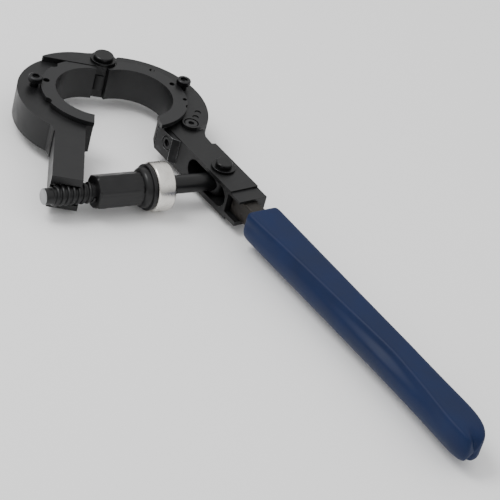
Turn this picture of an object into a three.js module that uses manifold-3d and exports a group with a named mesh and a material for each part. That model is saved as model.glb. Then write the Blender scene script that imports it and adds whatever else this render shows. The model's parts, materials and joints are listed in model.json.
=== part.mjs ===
// Hinged-jaw pipe cutter for 2 in. plastic pipe, lying flat. Millimetres, +Z up, X along the handle.
// The plan is drawn about the bore axis with the jaws closed. The left side is then turned open
// about the hinge, and the whole tool is moved so that the origin is under its middle.
import * as THREE from 'three';
import { mergeVertices } from 'three/addons/utils/BufferGeometryUtils.js';
import Module from 'manifold-3d';

const wasm = await Module();
wasm.setup();

// ---------------------------------------------------------------- driving dimensions
const FIT = 0.3;

// Heights above the bench
const RING_BOTTOM = 3.4;
const DECK = 25.4;
const FLANGE_TOP = 29;
const HINGE_PLATE_TOP = 29.4;
const BLOCK_TOP = 23;

// Half-ring inserts
const BORE_R = 30.15;
const INSERT_R = 34;
const SEAT_R = INSERT_R + 0.35;
const RIM_R = 40.6;
const INSERT_BOTTOM = 4;
const CLAMP_SCREW_AT = 44.7;

// Hinge
const HINGE = [-42.6, 2.6];
const LUG_R = 9.3;
const LUG_CLEAR_R = 9.8;
const HINGE_PIN_R = 4;
const KNUCKLE = [9.3, 21.3];
const JAW_OPEN = 33;

// Left jaw, drawn closed
const LEFT_ARC = { x: 2.45, y: -5.8, r: 50.8 };
const TAIL = { x0: 52, x1: 107, y0: -28, y1: -7 };
const HINGE_PLATE_X = -33.4;

// Right jaw
const RIGHT_ARC = { x: 4, y: -4.3, r: 57.7 };
const CHEEK = { x: 39.5, y: 26.5, r: 6.5 };
const TONGUE = { z0: 7.3, z1: 16.2, r: 52, degrees: 56 };
const DOWELS = [[29.6, 38.6], [34.3, 33.6]];

// Block
const BLOCK = { x1: 127.3, y0: 8.7, y1: 31.7 };
const END_STEP = { x: 116, z0: 1.8, z1: 21.8 };
const SLOT = { x0: 67, x1: 112, y1: 28.7, r: 8 };
const SHANK = { x0: 114.6, x1: 372, y0: 13, y1: 24, z0: 5.4, z1: 19.6 };

// Blade
const BLADE = { x0: 28.7, x1: 54, y0: 4.4, y1: 8.4, z1: 25.3 };
const BLADE_GRIND = 3;
const BLADE_SCREW = [44.4, 15.6];

// Swinging spindle: stations along its axis from the pivot
const PIVOT = [90.3, 19.8];
const AXIS_Z = 12;
const LEAN = 8.8;
const ROD_R = 6.5;
const RING_SPAN = [41.6, 54.7];
const RING_R = 17;
const FEED = { start: 55, disc: 58, hex: 63, thread: 96, tip: 127, end: 133 };
const DISC_R = 16;
const HEX_FLATS = 22;
const THREAD_R = 7.5;
const THREAD_ROOT_R = 6;
const THREAD_PITCH = 3.875;
const GROOVE_R = 7.9;

// ---------------------------------------------------------------- materials
function finish(color, roughness, metalness) {
  return new THREE.MeshStandardMaterial({ color, roughness, metalness });
}
const blackOxide = () => finish(0x2d2e31, 0.45, 0.85);
const fastenerBlack = () => finish(0x1f2022, 0.35, 0.9);
const zincPlate = () => finish(0xd2cfc8, 0.28, 1);
const brightSteel = () => finish(0xb9bbbb, 0.3, 1);
const bareSteel = () => finish(0x5b5750, 0.5, 0.9);
const blueVinyl = () => finish(0x22355f, 0.4, 0);

// ---------------------------------------------------------------- solid helpers
const rad = THREE.MathUtils.degToRad;

function toSolid(geometry) {
  const bare = geometry.clone();
  bare.deleteAttribute('normal');
  bare.deleteAttribute('uv');
  const merged = mergeVertices(bare, 1e-4);
  const mesh = new wasm.Mesh({
    numProp: 3,
    vertProperties: new Float32Array(merged.attributes.position.array),
    triVerts: new Uint32Array(merged.index.array),
  });
  return new wasm.Manifold(mesh);
}

function toGeometry(solid) {
  const mesh = solid.getMesh();
  const flat = new THREE.BufferGeometry();
  flat.setAttribute('position', new THREE.BufferAttribute(mesh.vertProperties, 3));
  flat.setIndex(new THREE.BufferAttribute(mesh.triVerts, 1));
  const faceted = flat.toNonIndexed();
  faceted.computeVertexNormals();
  return faceted;
}

function union(first, ...others) {
  return others.reduce((sum, other) => sum.add(other), first);
}

function cut(first, ...others) {
  return others.reduce((left, other) => left.subtract(other), first);
}

// A plan outline pulled up from z0 to z1
function plate(shape, z0, z1, curveSegments = 20) {
  const options = { depth: z1 - z0, bevelEnabled: false, curveSegments };
  return toSolid(new THREE.ExtrudeGeometry(shape, options).translate(0, 0, z0));
}

// An outline drawn in X and Z, pulled from y0 to y1
function wall(shape, y0, y1, curveSegments = 10) {
  const options = { depth: y1 - y0, bevelEnabled: false, curveSegments };
  const geometry = new THREE.ExtrudeGeometry(shape, options);
  return toSolid(geometry.rotateX(Math.PI / 2).translate(0, y1, 0));
}

function box(x0, x1, y0, y1, z0, z1) {
  const geometry = new THREE.BoxGeometry(x1 - x0, y1 - y0, z1 - z0);
  return toSolid(geometry.translate((x0 + x1) / 2, (y0 + y1) / 2, (z0 + z1) / 2));
}

// An upright cylinder
function post(x, y, r, z0, z1, segments = 24) {
  const geometry = new THREE.CylinderGeometry(r, r, z1 - z0, segments).rotateX(Math.PI / 2);
  return toSolid(geometry.translate(x, y, (z0 + z1) / 2));
}

// A cylinder lying along Y
function bolt(x, z, r, y0, y1, segments = 24) {
  const geometry = new THREE.CylinderGeometry(r, r, y1 - y0, segments);
  return toSolid(geometry.translate(x, (y0 + y1) / 2, z));
}

// A turned piece standing on Z: [radius, height] pairs from bottom to top, both ends on the axis
function turned(profile, segments = 24) {
  const points = profile.map(([r, z]) => new THREE.Vector2(r, z));
  return toSolid(new THREE.LatheGeometry(points, segments).rotateX(Math.PI / 2));
}

function turnedRing(r0, r1, z0, z1, segments = 24) {
  return turned([[r0, z0], [r1, z0], [r1, z1], [r0, z1], [r0, z0]], segments);
}

function polygon(points) {
  return new THREE.Shape(points.map(([x, y]) => new THREE.Vector2(x, y)));
}

function polar(r, degrees) {
  return [r * Math.cos(rad(degrees)), r * Math.sin(rad(degrees))];
}

// ---------------------------------------------------------------- assembly helpers
const tool = new THREE.Group();
const leftSide = new THREE.Group();
const spindle = new THREE.Group();
tool.add(leftSide, spindle);

// The left side turns clockwise about the hinge
const hingePoint = new THREE.Vector3(HINGE[0], HINGE[1], 0);
leftSide.rotation.z = -rad(JAW_OPEN);
leftSide.position.copy(hingePoint).sub(hingePoint.clone().applyEuler(leftSide.rotation));

// The spindle's own Z runs along its axis, from the pivot to the tip; its own Y points up
const spindleAxis = new THREE.Vector3(-Math.sin(rad(LEAN)), -Math.cos(rad(LEAN)), 0);
const spindleSide = new THREE.Vector3(-Math.cos(rad(LEAN)), Math.sin(rad(LEAN)), 0).negate();
const upward = new THREE.Vector3().crossVectors(spindleAxis, spindleSide);
spindle.quaternion.setFromRotationMatrix(new THREE.Matrix4().makeBasis(spindleSide, upward, spindleAxis));
spindle.position.set(PIVOT[0], PIVOT[1], AXIS_Z);

function place(name, solid, material, parent = tool) {
  const mesh = new THREE.Mesh(toGeometry(solid), material);
  mesh.name = name;
  parent.add(mesh);
}

// ---------------------------------------------------------------- jaws
function leftJaw() {
  const { x, y, r } = LEFT_ARC;
  const outline = new THREE.Shape();
  outline.moveTo(38.5, -1.8);
  outline.lineTo(40.5, TAIL.y1);
  outline.lineTo(TAIL.x0 + 1, TAIL.y1);
  outline.lineTo(TAIL.x0 + 1, -28.9);
  outline.quadraticCurveTo(48.5, -29.2, 45.8, -32);
  outline.absarc(x, y, r, rad(-31), rad(-175), true);
  outline.lineTo(HINGE[0] - LUG_R, HINGE[1]);
  outline.absarc(HINGE[0], HINGE[1], LUG_R, rad(180), rad(0), true);
  outline.lineTo(HINGE[0] + LUG_R, -1.8);
  const ring = plate(outline, RING_BOTTOM, DECK, 32);
  const tail = box(TAIL.x0, TAIL.x1, TAIL.y0, TAIL.y1, 0, DECK);
  const raised = new THREE.Shape();
  raised.moveTo(HINGE_PLATE_X, HINGE[1]);
  raised.lineTo(HINGE_PLATE_X, -40);
  raised.absarc(x, y, r, rad(-136.4), rad(-175), true);
  raised.lineTo(HINGE[0] - LUG_R, HINGE[1]);
  raised.absarc(HINGE[0], HINGE[1], LUG_R, rad(180), rad(0), true);
  return cut(
    union(ring, tail, plate(raised, DECK - 1, HINGE_PLATE_TOP, 16)),
    post(0, 0, SEAT_R, -1, DECK, 64),
    post(HINGE[0], HINGE[1], LUG_CLEAR_R, KNUCKLE[0] - FIT, KNUCKLE[1] + FIT, 32),
    post(HINGE[0], HINGE[1], HINGE_PIN_R + FIT, 0, 40),
    post(0, -CLAMP_SCREW_AT, 3.3, 11.7, DECK + 1, 16),
    feedGroove(),
  );
}

// The open half nut in the end of the tail, square to the spindle as it lies at rest
function feedGroove() {
  const section = new THREE.Shape();
  section.absarc(0, 0, GROOVE_R, rad(90), rad(270), false);
  section.lineTo(14, -GROOVE_R);
  section.lineTo(14, GROOVE_R);
  const options = { depth: 80, bevelEnabled: false, curveSegments: 16 };
  const geometry = new THREE.ExtrudeGeometry(section, options).translate(0, 0, 85);
  const pose = new THREE.Matrix4().compose(spindle.position, spindle.quaternion, new THREE.Vector3(1, 1, 1));
  leftSide.updateMatrix();
  return toSolid(geometry.applyMatrix4(pose).applyMatrix4(leftSide.matrix.clone().invert()));
}

function rightJaw() {
  const { x, y, r } = RIGHT_ARC;
  const outline = new THREE.Shape();
  outline.moveTo(HINGE[0], HINGE[1]);
  outline.lineTo(-28, HINGE[1]);
  outline.lineTo(28, 19.6);
  outline.absarc(CHEEK.x, CHEEK.y, CHEEK.r, rad(-150), rad(10), false);
  outline.absarc(x, y, r, rad(46), rad(155), false);
  const band = plate(outline, RING_BOTTOM, DECK, 32);
  const [hx, hy] = HINGE;
  const cleared = cut(
    band,
    post(0, 0, SEAT_R, -1, DECK + 1, 64),
    post(hx, hy, LUG_CLEAR_R + FIT, 0, KNUCKLE[0], 32),
    post(hx, hy, LUG_CLEAR_R + FIT, KNUCKLE[1], 40, 32),
  );
  const knuckled = union(cleared, post(hx, hy, LUG_R, KNUCKLE[0], KNUCKLE[1], 32));
  return cut(
    knuckled,
    post(hx, hy, HINGE_PIN_R + FIT, 0, 40),
    tongue(FIT),
    post(0, CLAMP_SCREW_AT, 3.3, 11.7, DECK + 1, 16),
    post(CHEEK.x, CHEEK.y, 3.3, TONGUE.z0, DECK + 1, 16),
    post(CHEEK.x, CHEEK.y, 5.3, 19.6, DECK + 1),
    ...DOWELS.map(([dx, dy]) => post(dx, dy, 2.3, 8.7, DECK + 1, 16)),
  );
}

// The tongue of the block that the right jaw's fork holds, or the room for it
function tongue(gap) {
  const last = TONGUE.degrees + gap;
  const wedge = polygon([[20, BLOCK.y0], [80, BLOCK.y0], [80, 34], polar(75, last), polar(20, last)]);
  const sector = plate(wedge, TONGUE.z0 - gap, TONGUE.z1 + gap);
  const disc = post(0, 0, TONGUE.r + gap, 0, 30, 64);
  return cut(sector.intersect(disc), post(0, 0, SEAT_R + FIT - 3 * gap, 0, 30, 64));
}

// ---------------------------------------------------------------- inserts
function insert(side) {
  const body = turnedRing(BORE_R, INSERT_R, INSERT_BOTTOM, FLANGE_TOP - 1, 72);
  const flange = turnedRing(BORE_R, RIM_R, DECK + FIT, FLANGE_TOP, 72);
  const beyondLeft = [box(-60, 60, -1.7, 60, 0, 40)];
  const beyondRight = [box(-60, 60, -60, 0, 0, 40), box(-60, 0, -1, 0.6, 0, 40)];
  const beyond = side === 'left' ? beyondLeft : beyondRight;
  return cut(union(body, flange), ...beyond, post(HINGE[0], HINGE[1], 10.3, 0, 40, 32));
}

function leftInsert() {
  return cut(
    insert('left'),
    box(-60, HINGE_PLATE_X + FIT, -60, 10, DECK, 40),
    post(...polar(41.6, -128), 3.3, DECK, 40, 16),
    post(...polar(41.6, -58), 3.3, DECK, 40, 16),
    post(-3.5, -36.8, 2.4, DECK, 40, 16),
  );
}

function rightInsert() {
  return cut(
    insert('right'),
    box(20, 60, -1, BLADE.y1 + FIT, 0, DECK + FIT),
    plate(polygon([[20, -1], [20, 6], [27.8, 3.7], [45, -1.4]]), 0, 40),
    post(-22, 32, 2, DECK, 40, 16),
    post(-2.4, 36.6, 2, DECK, 40, 16),
    post(26.4, 32.5, 2.6, DECK, 40, 16),
    post(17.3, 34.7, 1.6, DECK, 40, 16),
  );
}

// ---------------------------------------------------------------- block
function blockPlan() {
  const outline = new THREE.Shape();
  outline.moveTo(28, BLOCK.y0);
  outline.lineTo(BLOCK.x1, BLOCK.y0);
  outline.lineTo(BLOCK.x1, BLOCK.y1);
  outline.lineTo(63.9, BLOCK.y1);
  outline.lineTo(63.1, 28.7);
  outline.lineTo(54.5, 29.4);
  outline.lineTo(47.8, 32.7);
  outline.lineTo(46.3, 32.7);
  outline.absarc(CHEEK.x, CHEEK.y, CHEEK.r + FIT, rad(10), rad(-140), true);
  outline.lineTo(28, 18.4);
  return outline;
}

function slot() {
  const { x0, x1, r } = SLOT;
  const outline = new THREE.Shape();
  outline.absarc(x0 + r, AXIS_Z, r, rad(90), rad(270), false);
  outline.absarc(x1 - r, AXIS_Z, r, rad(-90), rad(90), false);
  return wall(outline, 0, SLOT.y1);
}

function handleBlock() {
  const [px, py] = PIVOT;
  const end = BLOCK.x1 + 1;
  return cut(
    union(plate(blockPlan(), 0, BLOCK_TOP), tongue(0)),
    post(0, 0, SEAT_R + FIT, -1, 40, 64),
    box(END_STEP.x, end, 0, 40, -1, END_STEP.z0),
    box(END_STEP.x, end, 0, 40, END_STEP.z1, 40),
    box(SHANK.x0 - FIT, end, 0, SHANK.y1 + FIT, SHANK.z0 - FIT, SHANK.z1 + FIT),
    slot(),
    post(px, py, 4.3, -1, 40),
    post(px, py, 7.2, -1, 2.2),
    bolt(...BLADE_SCREW, 3.3, 8, 20.3, 16),
    post(CHEEK.x, CHEEK.y, 3.3, 8, 20, 16),
    ...DOWELS.map(([dx, dy]) => post(dx, dy, 2.3, 8.7, 20, 16)),
    post(121.5, 18.5, 2.8, 0, 8, 16),
  );
}

// ---------------------------------------------------------------- fasteners
function hexSocket(acrossFlats, z0, z1) {
  return post(0, 0, acrossFlats / Math.sqrt(3), z0, z1, 6);
}

// A socket screw standing head up: the underside of its head is at z
function socketScrew(x, y, z, headR, headHeight, length, socket = 5) {
  const profile = [[0, -length], [3, -length], [3, 0], [headR, 0]];
  profile.push([headR, headHeight - 0.6], [headR - 0.6, headHeight], [0, headHeight]);
  return cut(turned(profile), hexSocket(socket, headHeight - 2.2, headHeight + 1)).translate([x, y, z]);
}

function headedPin(x, y, head, z0, z1, grooveAt) {
  const [headR, headHeight] = head;
  const profile = [[0, z0], [3.6, z0], [4, z0 + 0.4], [4, grooveAt[0]], [3.2, grooveAt[0]]];
  profile.push([3.2, grooveAt[1]], [4, grooveAt[1]], [4, z1], [headR, z1]);
  profile.push([headR, z1 + headHeight - 0.6], [headR - 0.6, z1 + headHeight], [0, z1 + headHeight]);
  return turned(profile).translate([x, y, 0]);
}

function washer(x, y, r, z) {
  return turnedRing(4.3, r, z + FIT, z + 1.8).translate([x, y, 0]);
}

// A retaining ring with the gap in its side
function retainingRing(x, y, z0, z1, r) {
  const ring = cut(turnedRing(3.5, r, z0, z1), box(0, 10, -1.6, 1.6, 0, 40));
  return ring.translate([x, y, 0]);
}

// ---------------------------------------------------------------- blade
function blade() {
  const { x0, x1, y0, y1, z1 } = BLADE;
  const face = polygon([
    [x0 + 4, RING_BOTTOM], [x1, RING_BOTTOM], [x1, BLOCK_TOP - 0.5],
    [x0 + 8, BLOCK_TOP - 0.5], [x0 + 8, z1], [x0, z1], [x0, RING_BOTTOM + 5],
  ]);
  const ramp = polygon([[x1 - 4.5, y0 - 1], [x1 - 4.5, y0], [x1 + 1, y1 + 0.6], [x1 + 2, y0 - 1]]);
  const back = polygon([[x0 - 1, y0 + 1.4], [x0 + 3.6, y1 + 1], [x0 - 1, y1 + 1]]);
  const front = polygon([[x0 - 1, y0 - 1], [x0 + BLADE_GRIND, y0 - 1], [x0 + BLADE_GRIND, y0], [x0 - 1, y0 + 0.7]]);
  const [sx, sz] = BLADE_SCREW;
  return cut(
    wall(face, y0, y1),
    plate(ramp, 0, 40),
    plate(back, 0, 40),
    plate(front, 0, 40),
    box(x0 + BLADE_GRIND, x0 + BLADE_GRIND + 0.7, y0 - 1, y0 + 0.6, RING_BOTTOM + 2, 40),
    bolt(sx, sz, 5.2, y0 - 1, y1 - 1),
    bolt(sx, sz, 3.3, y0, y1 + 1, 16),
  );
}

function bladeScrew() {
  const screw = socketScrew(0, 0, 0, 4.9, 2.6, 12.5).rotate([90, 0, 0]);
  return screw.translate([BLADE_SCREW[0], BLADE.y1 - 1 - FIT, BLADE_SCREW[1]]);
}

// ---------------------------------------------------------------- spindle pieces, on their own axis
function swingRod() {
  const rod = turned([[0, 0], [ROD_R, 0], [ROD_R, RING_SPAN[1]], [4, RING_SPAN[1]], [4, 72], [0, 72]]);
  const hub = toSolid(new THREE.CylinderGeometry(8.4, 8.4, 14, 32));
  const pinHole = toSolid(new THREE.CylinderGeometry(4.3, 4.3, 40, 24));
  return cut(union(rod, hub), pinHole);
}

function thrustRing() {
  const [z0, z1] = RING_SPAN;
  const bore = ROD_R + FIT;
  return turned([
    [bore, z0], [RING_R - 1, z0], [RING_R, z0 + 1], [RING_R, z1 - 1],
    [RING_R - 1, z1], [bore, z1], [bore, z0],
  ], 32);
}

function threadProfile() {
  const points = [];
  for (let z = FEED.thread; z < FEED.tip - 0.1; z += THREAD_PITCH) {
    points.push([THREAD_ROOT_R, z + 0.5], [THREAD_R, z + 1.4], [THREAD_R, z + 2.4], [THREAD_ROOT_R, z + 3.3]);
  }
  return points;
}

function feedScrew() {
  const hexR = HEX_FLATS / Math.sqrt(3);
  const { start, disc, hex, thread, tip, end } = FEED;
  const shaft = turned([
    [0, start], [DISC_R, start], [DISC_R, disc], [14, disc], [14, hex - 2], [hexR - 1.4, hex], [10, hex],
    [10, thread], ...threadProfile(), [THREAD_ROOT_R, tip], [5.5, tip], [5.5, end - 0.8], [4.7, end], [0, end],
  ]);
  const hexagon = toSolid(new THREE.CylinderGeometry(hexR, hexR, thread - hex + 1, 6).rotateX(Math.PI / 2));
  const rounding = turned([[0, hex - 2], [14, hex - 2], [14, thread - 1.4], [11, thread], [0, thread]]);
  const body = hexagon.translate([0, 0, (thread + hex - 1) / 2]).intersect(rounding);
  return cut(union(shaft, body), post(0, 0, 4.3, start - 1, 72.3));
}

// ---------------------------------------------------------------- grip
// One section of the grip across X, as [y, z] pairs
function gripSection(far, ridge, low, top) {
  return [
    [far - 4, 0], [far - 0.5, 4], [far, top - 4], [far - 1.2, top - 1], [far - 3, top],
    [ridge + 1, top], [ridge, top - 0.8], [ridge - 1.6, top - 4.5], [low, 13],
    [low + 0.8, 8], [low + 4, 3.5], [low + 8, 0],
  ];
}

function loft(stations) {
  const count = stations[0].points.length;
  const positions = [];
  const index = [];
  stations.forEach(({ x, points }) => points.forEach(([y, z]) => positions.push(x, y, z)));
  for (let s = 0; s + 1 < stations.length; s += 1) {
    for (let i = 0; i < count; i += 1) {
      const a = s * count + i;
      const b = s * count + ((i + 1) % count);
      index.push(a, b, a + count, b, b + count, a + count);
    }
  }
  const last = (stations.length - 1) * count;
  for (let i = 1; i + 1 < count; i += 1) {
    index.push(0, i + 1, i, last, last + i, last + i + 1);
  }
  const geometry = new THREE.BufferGeometry();
  geometry.setAttribute('position', new THREE.Float32BufferAttribute(positions, 3));
  geometry.setIndex(index);
  return toSolid(geometry);
}

function grip() {
  const rows = [
    [141, 28.5, 6.4, 5, 23.5], [143, 29.5, 5.2, 3.8, 24.5], [148, 29.5, 4.9, 3.6, 24.5],
    [182, 29.1, 7, 3.8, 24.5], [222, 28.6, 8.5, 4, 24.5], [261, 28.1, 10.2, 4, 24.5],
    [298, 27.5, 11.6, 4, 24.5], [337, 27, 7.9, 3.4, 24.5], [361, 26.5, 4.7, 2.4, 24.5],
    [371, 24.6, 4.6, 1.8, 24.5], [379, 21, 5.4, 2.6, 24], [383, 18, 7.4, 5, 22.5],
  ];
  const stations = rows.map(([x, far, ridge, low, top]) => ({ x, points: gripSection(far, ridge, low, top) }));
  const { x1, y0, y1, z0, z1 } = SHANK;
  return cut(loft(stations), box(130, x1 + FIT, y0 - FIT, y1 + FIT, z0 - FIT, z1 + FIT));
}

function handleBar() {
  const { x0, x1, y0, y1, z0, z1 } = SHANK;
  return cut(box(x0, x1, y0, y1, z0, z1), post(121.5, 18.5, 2.8, 0, 17.3, 16));
}

// ---------------------------------------------------------------- the assembly
place('left_jaw', leftJaw(), blackOxide(), leftSide);
place('left_insert', leftInsert(), blackOxide(), leftSide);
const clampScrew = (y) => socketScrew(0, y, FLANGE_TOP + FIT, 5, 4, 17);
place('left_insert_screw', clampScrew(-CLAMP_SCREW_AT), fastenerBlack(), leftSide);
place('right_jaw', rightJaw(), blackOxide());
place('right_insert', rightInsert(), blackOxide());
place('right_insert_screw', clampScrew(CLAMP_SCREW_AT), fastenerBlack());
place('handle_block', handleBlock(), blackOxide());
place('cheek_screw', socketScrew(CHEEK.x, CHEEK.y, 19.9, 5, 5.3, 11.2, 4), fastenerBlack());
DOWELS.forEach(([x, y], i) => place(`dowel_pin_${i + 1}`, post(x, y, 2, 9, DECK - 0.6, 16), fastenerBlack()));
place('hinge_pin', headedPin(...HINGE, [7.2, 2.8], 0.6, HINGE_PLATE_TOP + 2.1, [1.3, 2.7]), fastenerBlack());
place('hinge_washer', washer(...HINGE, 9.2, HINGE_PLATE_TOP), fastenerBlack());
place('hinge_retaining_ring', retainingRing(...HINGE, 1.6, 2.4, 7), brightSteel());
place('blade', blade(), brightSteel());
place('blade_screw', bladeScrew(), fastenerBlack());
place('pivot_pin', headedPin(...PIVOT, [5.8, 2.9], 0.3, BLOCK_TOP + 2.1, [0.8, 2]), fastenerBlack());
place('pivot_washer', washer(...PIVOT, 8.55, BLOCK_TOP), fastenerBlack());
place('pivot_retaining_ring', retainingRing(...PIVOT, 1, 1.8, 6.6), brightSteel());
place('swing_rod', swingRod(), blackOxide(), spindle);
place('thrust_ring', thrustRing(), zincPlate(), spindle);
place('feed_screw', feedScrew(), blackOxide(), spindle);
place('handle_bar', handleBar(), bareSteel());
place('handle_roll_pin', post(121.5, 18.5, 2.5, 2.1, 17, 16), brightSteel());
place('grip', grip(), blueVinyl());

// Origin under the middle of the whole tool
tool.updateMatrixWorld(true);
const extent = new THREE.Box3().setFromObject(tool, true);
const middle = extent.getCenter(new THREE.Vector3());
tool.position.set(-middle.x, -middle.y, -extent.min.z);

export default tool;
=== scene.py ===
"""Hinged-jaw cutter for large plastic pipe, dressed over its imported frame. Everything is in metres."""

import json
import math

import bmesh
import bpy
from bpy.props import FloatProperty, FloatVectorProperty, IntProperty, PointerProperty
from mathutils import Euler, Matrix, Vector


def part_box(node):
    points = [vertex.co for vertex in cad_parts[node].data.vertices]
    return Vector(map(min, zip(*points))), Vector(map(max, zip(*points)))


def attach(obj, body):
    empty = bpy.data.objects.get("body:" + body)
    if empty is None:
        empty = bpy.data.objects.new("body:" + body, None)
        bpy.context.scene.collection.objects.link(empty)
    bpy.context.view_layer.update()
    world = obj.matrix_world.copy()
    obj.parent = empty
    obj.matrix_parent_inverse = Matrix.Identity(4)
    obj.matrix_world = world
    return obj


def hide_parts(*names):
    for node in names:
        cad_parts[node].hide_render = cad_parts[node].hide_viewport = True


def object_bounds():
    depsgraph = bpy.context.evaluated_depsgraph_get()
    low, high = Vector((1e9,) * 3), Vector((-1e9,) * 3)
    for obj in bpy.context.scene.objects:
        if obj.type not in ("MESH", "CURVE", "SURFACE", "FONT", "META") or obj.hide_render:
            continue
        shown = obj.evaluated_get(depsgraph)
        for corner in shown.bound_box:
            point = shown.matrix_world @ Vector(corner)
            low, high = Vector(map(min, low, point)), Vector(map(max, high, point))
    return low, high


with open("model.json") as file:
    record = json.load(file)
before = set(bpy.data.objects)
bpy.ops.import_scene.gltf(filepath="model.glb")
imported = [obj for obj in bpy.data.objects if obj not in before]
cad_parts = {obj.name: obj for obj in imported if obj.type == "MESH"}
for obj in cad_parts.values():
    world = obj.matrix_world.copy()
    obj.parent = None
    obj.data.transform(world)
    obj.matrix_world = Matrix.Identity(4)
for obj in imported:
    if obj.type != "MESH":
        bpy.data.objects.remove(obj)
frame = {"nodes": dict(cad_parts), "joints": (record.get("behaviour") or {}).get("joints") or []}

bl_info = {
    "name": "Pipe Cutter Pieces",
    "version": (1, 0, 0),
    "blender": (4, 5, 0),
    "location": "View3D > Sidebar > Cutter",
    "description": "Builds the pieces and finishes of a hinged-jaw pipe cutter",
    "category": "Object",
}

CAD_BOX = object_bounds()
MM = 0.001


# ------------------------------------------------------------------ sizes and colours
class CutterSizes(bpy.types.PropertyGroup):
    edge_break: FloatProperty(
        name="Edge break", description="Rounding of the machined edges",
        default=0.0006, min=0.0, unit="LENGTH", subtype="DISTANCE",
    )
    fine_break: FloatProperty(
        name="Fine edge break", description="Rounding of the edges of screws, pins and washers",
        default=0.00025, min=0.0, unit="LENGTH", subtype="DISTANCE",
    )
    thread_pitch: FloatProperty(
        name="Thread pitch", description="Advance of the feed screw in one turn",
        default=0.003875, min=0.0005, unit="LENGTH", subtype="DISTANCE",
    )
    thread_root: FloatProperty(
        name="Thread root radius", description="Radius of the feed screw's core",
        default=0.0061, min=0.001, unit="LENGTH", subtype="DISTANCE",
    )
    thread_rib: FloatProperty(
        name="Thread rib radius", description="Half the thickness of the thread's ridge",
        default=0.00135, min=0.0002, unit="LENGTH", subtype="DISTANCE",
    )
    knurl_count: IntProperty(
        name="Knurl count", description="Ridges round the head of each clamp screw", default=40, min=8,
    )


class CutterColours(bpy.types.PropertyGroup):
    black: FloatVectorProperty(
        name="Black finish", description="Colour of the blackened steel", subtype="COLOR",
        size=3, default=(0.0075, 0.0076, 0.0081), min=0.0, max=1.0,
    )
    zinc: FloatVectorProperty(
        name="Zinc plate", description="Colour of the thrust ring", subtype="COLOR",
        size=3, default=(0.74, 0.72, 0.68), min=0.0, max=1.0,
    )
    steel: FloatVectorProperty(
        name="Bright steel", description="Colour of ground and turned steel", subtype="COLOR",
        size=3, default=(0.52, 0.53, 0.54), min=0.0, max=1.0,
    )
    bar: FloatVectorProperty(
        name="Handle bar", description="Colour of the dull steel bar", subtype="COLOR",
        size=3, default=(0.03, 0.027, 0.0245), min=0.0, max=1.0,
    )
    vinyl: FloatVectorProperty(
        name="Grip vinyl", description="Colour of the dipped grip", subtype="COLOR",
        size=3, default=(0.0028, 0.0116, 0.050), min=0.0, max=1.0,
    )


def sizes():
    return bpy.context.scene.cutter_sizes


def colours():
    return bpy.context.scene.cutter_colours


# ------------------------------------------------------------------ shader groups
def new_group(name, inputs, outputs):
    """An empty shader group with float inputs {name: default} and float outputs."""
    group = bpy.data.node_groups.new(name, "ShaderNodeTree")
    for label, default in inputs.items():
        socket = group.interface.new_socket(label, in_out="INPUT", socket_type="NodeSocketFloat")
        socket.default_value = default
    for label in outputs:
        group.interface.new_socket(label, in_out="OUTPUT", socket_type="NodeSocketFloat")
    return group, group.nodes.new("NodeGroupInput"), group.nodes.new("NodeGroupOutput")


def noise(tree, scale, detail=3.0, rough=0.5, vector=None):
    node = tree.nodes.new("ShaderNodeTexNoise")
    node.inputs["Scale"].default_value = scale
    node.inputs["Detail"].default_value = detail
    node.inputs["Roughness"].default_value = rough
    if vector is None:
        vector = tree.nodes.new("ShaderNodeTexCoord").outputs["Object"]
    tree.links.new(vector, node.inputs["Vector"])
    return node


def math_node(tree, operation, a, b):
    node = tree.nodes.new("ShaderNodeMath")
    node.operation = operation
    for socket, value in zip(node.inputs, (a, b)):
        if isinstance(value, (int, float)):
            socket.default_value = value
        else:
            tree.links.new(value, socket)
    return node.outputs[0]


def spread(tree, value, low, high, to_low=0.0, to_high=1.0):
    node = tree.nodes.new("ShaderNodeMapRange")
    node.inputs["From Min"].default_value = low
    node.inputs["From Max"].default_value = high
    node.inputs["To Min"].default_value = to_low
    node.inputs["To Max"].default_value = to_high
    tree.links.new(value, node.inputs["Value"])
    return node.outputs["Result"]


def stretched(tree, scale):
    """Object coordinates scaled by three factors, for marks that run one way."""
    mapping = tree.nodes.new("ShaderNodeMapping")
    mapping.inputs["Scale"].default_value = scale
    tree.links.new(tree.nodes.new("ShaderNodeTexCoord").outputs["Object"], mapping.inputs["Vector"])
    return mapping.outputs["Vector"]


def grain_group():
    """Fine surface grain over a slow mottle: a height and a mottle value."""
    name = "Fine grain"
    if name in bpy.data.node_groups:
        return bpy.data.node_groups[name]
    group, given, out = new_group(name, {"Grain scale": 2600.0, "Mottle scale": 90.0}, ("Height", "Mottle"))
    fine = noise(group, 2600.0, 4.0, 0.6)
    slow = noise(group, 90.0, 4.0, 0.55)
    group.links.new(given.outputs["Grain scale"], fine.inputs["Scale"])
    group.links.new(given.outputs["Mottle scale"], slow.inputs["Scale"])
    group.links.new(fine.outputs["Fac"], out.inputs["Height"])
    group.links.new(spread(group, slow.outputs["Fac"], 0.32, 0.68), out.inputs["Mottle"])
    return group


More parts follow.
